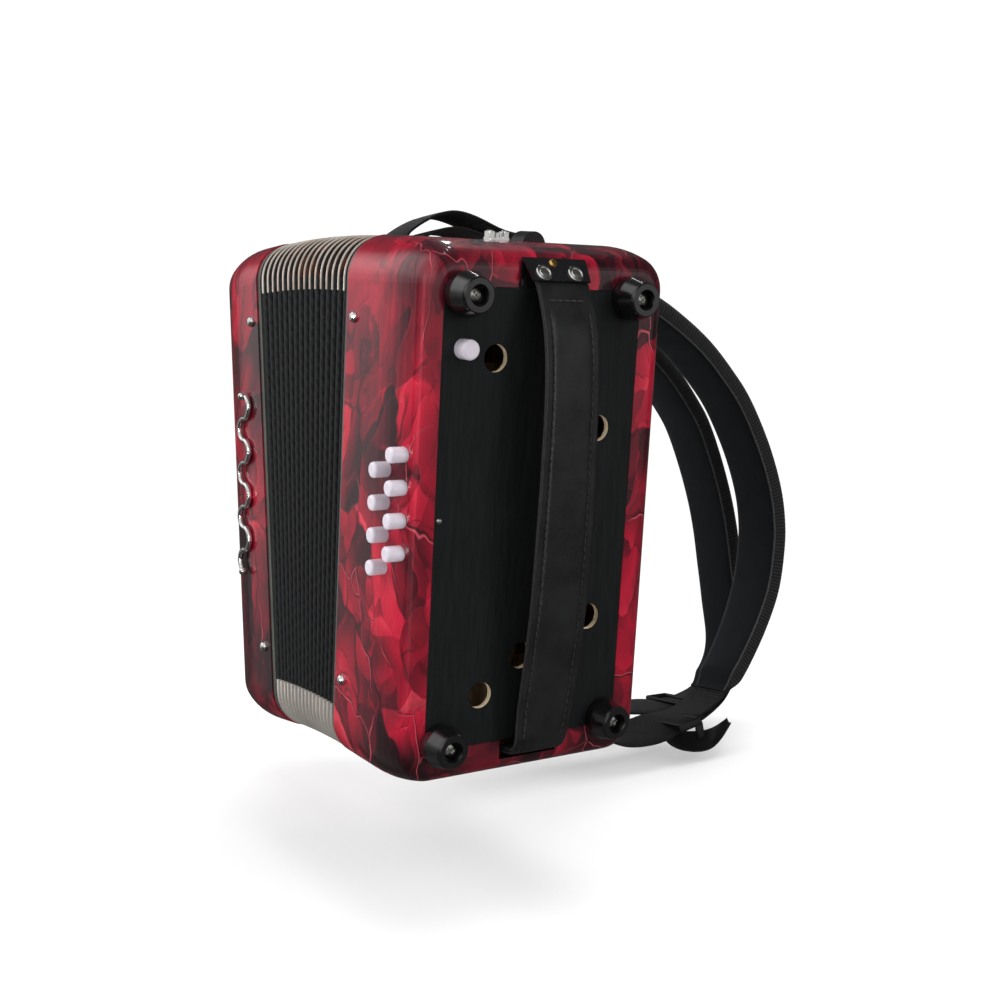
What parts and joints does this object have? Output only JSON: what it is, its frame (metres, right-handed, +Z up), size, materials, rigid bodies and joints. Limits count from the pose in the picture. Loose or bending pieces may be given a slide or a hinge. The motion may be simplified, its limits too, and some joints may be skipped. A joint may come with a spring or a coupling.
{
  "type": "piano accordion",
  "caption": "Small red-pearl piano accordion with a fanned bellows, treble keyboard, bass buttons, leather hand strap and two padded shoulder straps.",
  "frame": {"origin": "centre of the flat band under the bass casing", "axes": "+X along the bellows towards the bass end, -Y the front with the bass buttons, +Z up"},
  "size_m": [0.3347, 0.4366, 0.3682],
  "materials": {
    "red_pearl": "marbled red pearl sheet under a clear gloss",
    "black_panel": "black stained plywood, satin",
    "steel": "bright",
    "wood": "bare plywood",
    "black_frame": "black lacquered plywood",
    "chrome": "polished",
    "rubber": "moulded, semi-gloss",
    "leather": "black grained leather, stitched",
    "webbing": "black padded webbing",
    "black_plastic": "moulded",
    "black_metal": "black lacquer",
    "bellows_cloth": "black textured cloth, pale corner bands",
    "black_key": "polished black",
    "white_key": "polished white",
    "white_plastic": "pearly white"
  },
  "bodies": {
    "treble_side": {"treble_casing": "red_pearl", "keyboard_frame": "red_pearl", "key_axle": "steel", "treble_reed_board": "wood", "treble_bellows_frame": "black_frame", "treble_bellows_pins": "chrome", "ornament": "chrome", "strap_brackets": "chrome", "shoulder_straps": "webbing", "strap_sliders": "black_plastic"},
    "fold_1": {"bellows_fold_1": "bellows_cloth"},
    "fold_2": {"bellows_fold_2": "bellows_cloth"},
    "fold_3": {"bellows_fold_3": "bellows_cloth"},
    "fold_4": {"bellows_fold_4": "bellows_cloth"},
    "fold_5": {"bellows_fold_5": "bellows_cloth"},
    "fold_6": {"bellows_fold_6": "bellows_cloth"},
    "fold_7": {"bellows_fold_7": "bellows_cloth"},
    "bass_side": {"bass_casing": "red_pearl", "bass_end_panel": "black_panel", "rubber_feet": "rubber", "foot_screws": "steel", "hand_strap": "leather", "strap_plate": "black_metal", "strap_rivets": "chrome", "bass_reed_block": "wood", "bass_bellows_frame": "black_frame", "bass_bellows_pins": "chrome", "closure_tab": "leather", "closure_stud": "chrome"},
    "key_01": {"key_01": "white_key"},
    "key_02": {"key_02": "black_key"},
    "key_03": {"key_03": "white_key"},
    "key_04": {"key_04": "black_key"},
    "key_05": {"key_05": "white_key"},
    "key_06": {"key_06": "black_key"},
    "key_07": {"key_07": "white_key"},
    "key_08": {"key_08": "white_key"},
    "key_09": {"key_09": "black_key"},
    "key_10": {"key_10": "white_key"},
    "key_11": {"key_11": "black_key"},
    "key_12": {"key_12": "white_key"},
    "key_13": {"key_13": "white_key"},
    "key_14": {"key_14": "black_key"},
    "key_15": {"key_15": "white_key"},
    "key_16": {"key_16": "black_key"},
    "key_17": {"key_17": "white_key"},
    "key_18": {"key_18": "black_key"},
    "key_19": {"key_19": "white_key"},
    "key_20": {"key_20": "white_key"},
    "key_21": {"key_21": "black_key"},
    "key_22": {"key_22": "white_key"},
    "bass_button_1": {"bass_button_1": "white_plastic"},
    "bass_button_2": {"bass_button_2": "white_plastic"},
    "bass_button_3": {"bass_button_3": "white_plastic"},
    "bass_button_4": {"bass_button_4": "white_plastic"},
    "bass_button_5": {"bass_button_5": "white_plastic"},
    "bass_button_6": {"bass_button_6": "white_plastic"},
    "bass_button_7": {"bass_button_7": "white_plastic"},
    "bass_button_8": {"bass_button_8": "white_plastic"},
    "air_button": {"air_button": "white_plastic"}
  },
  "joints": [
    {"name": "bellows_fan", "type": "hinge", "parent": "treble_side", "child": "fold_1", "pos_m": [-0.0442, 0, -0.084], "axis": [0, 1, 0], "range_deg": [-1, 3]},
    {"name": "bellows_follow_2", "type": "hinge", "parent": "fold_1", "child": "fold_2", "pos_m": [-0.0442, 0, -0.084], "axis": [0, 1, 0], "range_deg": [-1, 3]},
    {"name": "bellows_follow_3", "type": "hinge", "parent": "fold_2", "child": "fold_3", "pos_m": [-0.0442, 0, -0.084], "axis": [0, 1, 0], "range_deg": [-1, 3]},
    {"name": "bellows_follow_4", "type": "hinge", "parent": "fold_3", "child": "fold_4", "pos_m": [-0.0442, 0, -0.084], "axis": [0, 1, 0], "range_deg": [-1, 3]},
    {"name": "bellows_follow_5", "type": "hinge", "parent": "fold_4", "child": "fold_5", "pos_m": [-0.0442, 0, -0.084], "axis": [0, 1, 0], "range_deg": [-1, 3]},
    {"name": "bellows_follow_6", "type": "hinge", "parent": "fold_5", "child": "fold_6", "pos_m": [-0.0442, 0, -0.084], "axis": [0, 1, 0], "range_deg": [-1, 3]},
    {"name": "bellows_follow_7", "type": "hinge", "parent": "fold_6", "child": "fold_7", "pos_m": [-0.0442, 0, -0.084], "axis": [0, 1, 0], "range_deg": [-1, 3]},
    {"name": "bellows_follow_8", "type": "hinge", "parent": "fold_7", "child": "bass_side", "pos_m": [-0.0442, 0, -0.084], "axis": [0, 1, 0], "range_deg": [-1, 3]},
    {"name": "key_01_press", "type": "hinge", "parent": "treble_side", "child": "key_01", "pos_m": [-0.14677, -0.008, 0.2406], "axis": [0.1442, 0, -0.9896], "range_deg": [0, 3], "stiffness_Nm_per_rad": 0.3, "springref_deg": -11.46},
    {"name": "key_02_press", "type": "hinge", "parent": "treble_side", "child": "key_02", "pos_m": [-0.14536, -0.008, 0.23095], "axis": [0.1442, 0, -0.9896], "range_deg": [0, 3], "stiffness_Nm_per_rad": 0.3, "springref_deg": -11.46},
    {"name": "key_03_press", "type": "hinge", "parent": "treble_side", "child": "key_03", "pos_m": [-0.14396, -0.008, 0.22131], "axis": [0.1442, 0, -0.9896], "range_deg": [0, 3], "stiffness_Nm_per_rad": 0.3, "springref_deg": -11.46},
    {"name": "key_04_press", "type": "hinge", "parent": "treble_side", "child": "key_04", "pos_m": [-0.14255, -0.008, 0.21166], "axis": [0.1442, 0, -0.9896], "range_deg": [0, 3], "stiffness_Nm_per_rad": 0.3, "springref_deg": -11.46},
    {"name": "key_05_press", "type": "hinge", "parent": "treble_side", "child": "key_05", "pos_m": [-0.14115, -0.008, 0.20201], "axis": [0.1442, 0, -0.9896], "range_deg": [0, 3], "stiffness_Nm_per_rad": 0.3, "springref_deg": -11.46},
    {"name": "key_06_press", "type": "hinge", "parent": "treble_side", "child": "key_06", "pos_m": [-0.13974, -0.008, 0.19236], "axis": [0.1442, 0, -0.9896], "range_deg": [0, 3], "stiffness_Nm_per_rad": 0.3, "springref_deg": -11.46},
    {"name": "key_07_press", "type": "hinge", "parent": "treble_side", "child": "key_07", "pos_m": [-0.13834, -0.008, 0.18271], "axis": [0.1442, 0, -0.9896], "range_deg": [0, 3], "stiffness_Nm_per_rad": 0.3, "springref_deg": -11.46},
    {"name": "key_08_press", "type": "hinge", "parent": "treble_side", "child": "key_08", "pos_m": [-0.13552, -0.008, 0.16342], "axis": [0.1442, 0, -0.9896], "range_deg": [0, 3], "stiffness_Nm_per_rad": 0.3, "springref_deg": -11.46},
    {"name": "key_09_press", "type": "hinge", "parent": "treble_side", "child": "key_09", "pos_m": [-0.13412, -0.008, 0.15377], "axis": [0.1442, 0, -0.9896], "range_deg": [0, 3], "stiffness_Nm_per_rad": 0.3, "springref_deg": -11.46},
    {"name": "key_10_press", "type": "hinge", "parent": "treble_side", "child": "key_10", "pos_m": [-0.13271, -0.008, 0.14412], "axis": [0.1442, 0, -0.9896], "range_deg": [0, 3], "stiffness_Nm_per_rad": 0.3, "springref_deg": -11.46},
    {"name": "key_11_press", "type": "hinge", "parent": "treble_side", "child": "key_11", "pos_m": [-0.13131, -0.008, 0.13447], "axis": [0.1442, 0, -0.9896], "range_deg": [0, 3], "stiffness_Nm_per_rad": 0.3, "springref_deg": -11.46},
    {"name": "key_12_press", "type": "hinge", "parent": "treble_side", "child": "key_12", "pos_m": [-0.1299, -0.008, 0.12483], "axis": [0.1442, 0, -0.9896], "range_deg": [0, 3], "stiffness_Nm_per_rad": 0.3, "springref_deg": -11.46},
    {"name": "key_13_press", "type": "hinge", "parent": "treble_side", "child": "key_13", "pos_m": [-0.12709, -0.008, 0.10553], "axis": [0.1442, 0, -0.9896], "range_deg": [0, 3], "stiffness_Nm_per_rad": 0.3, "springref_deg": -11.46},
    {"name": "key_14_press", "type": "hinge", "parent": "treble_side", "child": "key_14", "pos_m": [-0.12568, -0.008, 0.09588], "axis": [0.1442, 0, -0.9896], "range_deg": [0, 3], "stiffness_Nm_per_rad": 0.3, "springref_deg": -11.46},
    {"name": "key_15_press", "type": "hinge", "parent": "treble_side", "child": "key_15", "pos_m": [-0.12428, -0.008, 0.08623], "axis": [0.1442, 0, -0.9896], "range_deg": [0, 3], "stiffness_Nm_per_rad": 0.3, "springref_deg": -11.46},
    {"name": "key_16_press", "type": "hinge", "parent": "treble_side", "child": "key_16", "pos_m": [-0.12287, -0.008, 0.07658], "axis": [0.1442, 0, -0.9896], "range_deg": [0, 3], "stiffness_Nm_per_rad": 0.3, "springref_deg": -11.46},
    {"name": "key_17_press", "type": "hinge", "parent": "treble_side", "child": "key_17", "pos_m": [-0.12147, -0.008, 0.06694], "axis": [0.1442, 0, -0.9896], "range_deg": [0, 3], "stiffness_Nm_per_rad": 0.3, "springref_deg": -11.46},
    {"name": "key_18_press", "type": "hinge", "parent": "treble_side", "child": "key_18", "pos_m": [-0.12006, -0.008, 0.05729], "axis": [0.1442, 0, -0.9896], "range_deg": [0, 3], "stiffness_Nm_per_rad": 0.3, "springref_deg": -11.46},
    {"name": "key_19_press", "type": "hinge", "parent": "treble_side", "child": "key_19", "pos_m": [-0.11865, -0.008, 0.04764], "axis": [0.1442, 0, -0.9896], "range_deg": [0, 3], "stiffness_Nm_per_rad": 0.3, "springref_deg": -11.46},
    {"name": "key_20_press", "type": "hinge", "parent": "treble_side", "child": "key_20", "pos_m": [-0.11584, -0.008, 0.02834], "axis": [0.1442, 0, -0.9896], "range_deg": [0, 3], "stiffness_Nm_per_rad": 0.3, "springref_deg": -11.46},
    {"name": "key_21_press", "type": "hinge", "parent": "treble_side", "child": "key_21", "pos_m": [-0.11444, -0.008, 0.0187], "axis": [0.1442, 0, -0.9896], "range_deg": [0, 3], "stiffness_Nm_per_rad": 0.3, "springref_deg": -11.46},
    {"name": "key_22_press", "type": "hinge", "parent": "treble_side", "child": "key_22", "pos_m": [-0.11303, -0.008, 0.00905], "axis": [0.1442, 0, -0.9896], "range_deg": [0, 3], "stiffness_Nm_per_rad": 0.3, "springref_deg": -11.46},
    {"name": "button_1_press", "type": "slide", "parent": "bass_side", "child": "bass_button_1", "axis": [0, 1, 0], "range_m": [0, 0.004], "stiffness_N_per_m": 150, "springref_m": -0.003},
    {"name": "button_2_press", "type": "slide", "parent": "bass_side", "child": "bass_button_2", "axis": [0, 1, 0], "range_m": [0, 0.004], "stiffness_N_per_m": 150, "springref_m": -0.003},
    {"name": "button_3_press", "type": "slide", "parent": "bass_side", "child": "bass_button_3", "axis": [0, 1, 0], "range_m": [0, 0.004], "stiffness_N_per_m": 150, "springref_m": -0.003},
    {"name": "button_4_press", "type": "slide", "parent": "bass_side", "child": "bass_button_4", "axis": [0, 1, 0], "range_m": [0, 0.004], "stiffness_N_per_m": 150, "springref_m": -0.003},
    {"name": "button_5_press", "type": "slide", "parent": "bass_side", "child": "bass_button_5", "axis": [0, 1, 0], "range_m": [0, 0.004], "stiffness_N_per_m": 150, "springref_m": -0.003},
    {"name": "button_6_press", "type": "slide", "parent": "bass_side", "child": "bass_button_6", "axis": [0, 1, 0], "range_m": [0, 0.004], "stiffness_N_per_m": 150, "springref_m": -0.003},
    {"name": "button_7_press", "type": "slide", "parent": "bass_side", "child": "bass_button_7", "axis": [0, 1, 0], "range_m": [0, 0.004], "stiffness_N_per_m": 150, "springref_m": -0.003},
    {"name": "button_8_press", "type": "slide", "parent": "bass_side", "child": "bass_button_8", "axis": [0, 1, 0], "range_m": [0, 0.004], "stiffness_N_per_m": 150, "springref_m": -0.003},
    {"name": "air_button_press", "type": "slide", "parent": "bass_side", "child": "air_button", "axis": [-1, 0, 0], "range_m": [0, 0.005], "stiffness_N_per_m": 150, "springref_m": -0.003}
  ],
  "couplings": [
    {"joint": "bellows_follow_2", "follows": "bellows_fan", "ratio": 1},
    {"joint": "bellows_follow_3", "follows": "bellows_fan", "ratio": 1},
    {"joint": "bellows_follow_4", "follows": "bellows_fan", "ratio": 1},
    {"joint": "bellows_follow_5", "follows": "bellows_fan", "ratio": 1},
    {"joint": "bellows_follow_6", "follows": "bellows_fan", "ratio": 1},
    {"joint": "bellows_follow_7", "follows": "bellows_fan", "ratio": 1},
    {"joint": "bellows_follow_8", "follows": "bellows_fan", "ratio": 1}
  ]
}
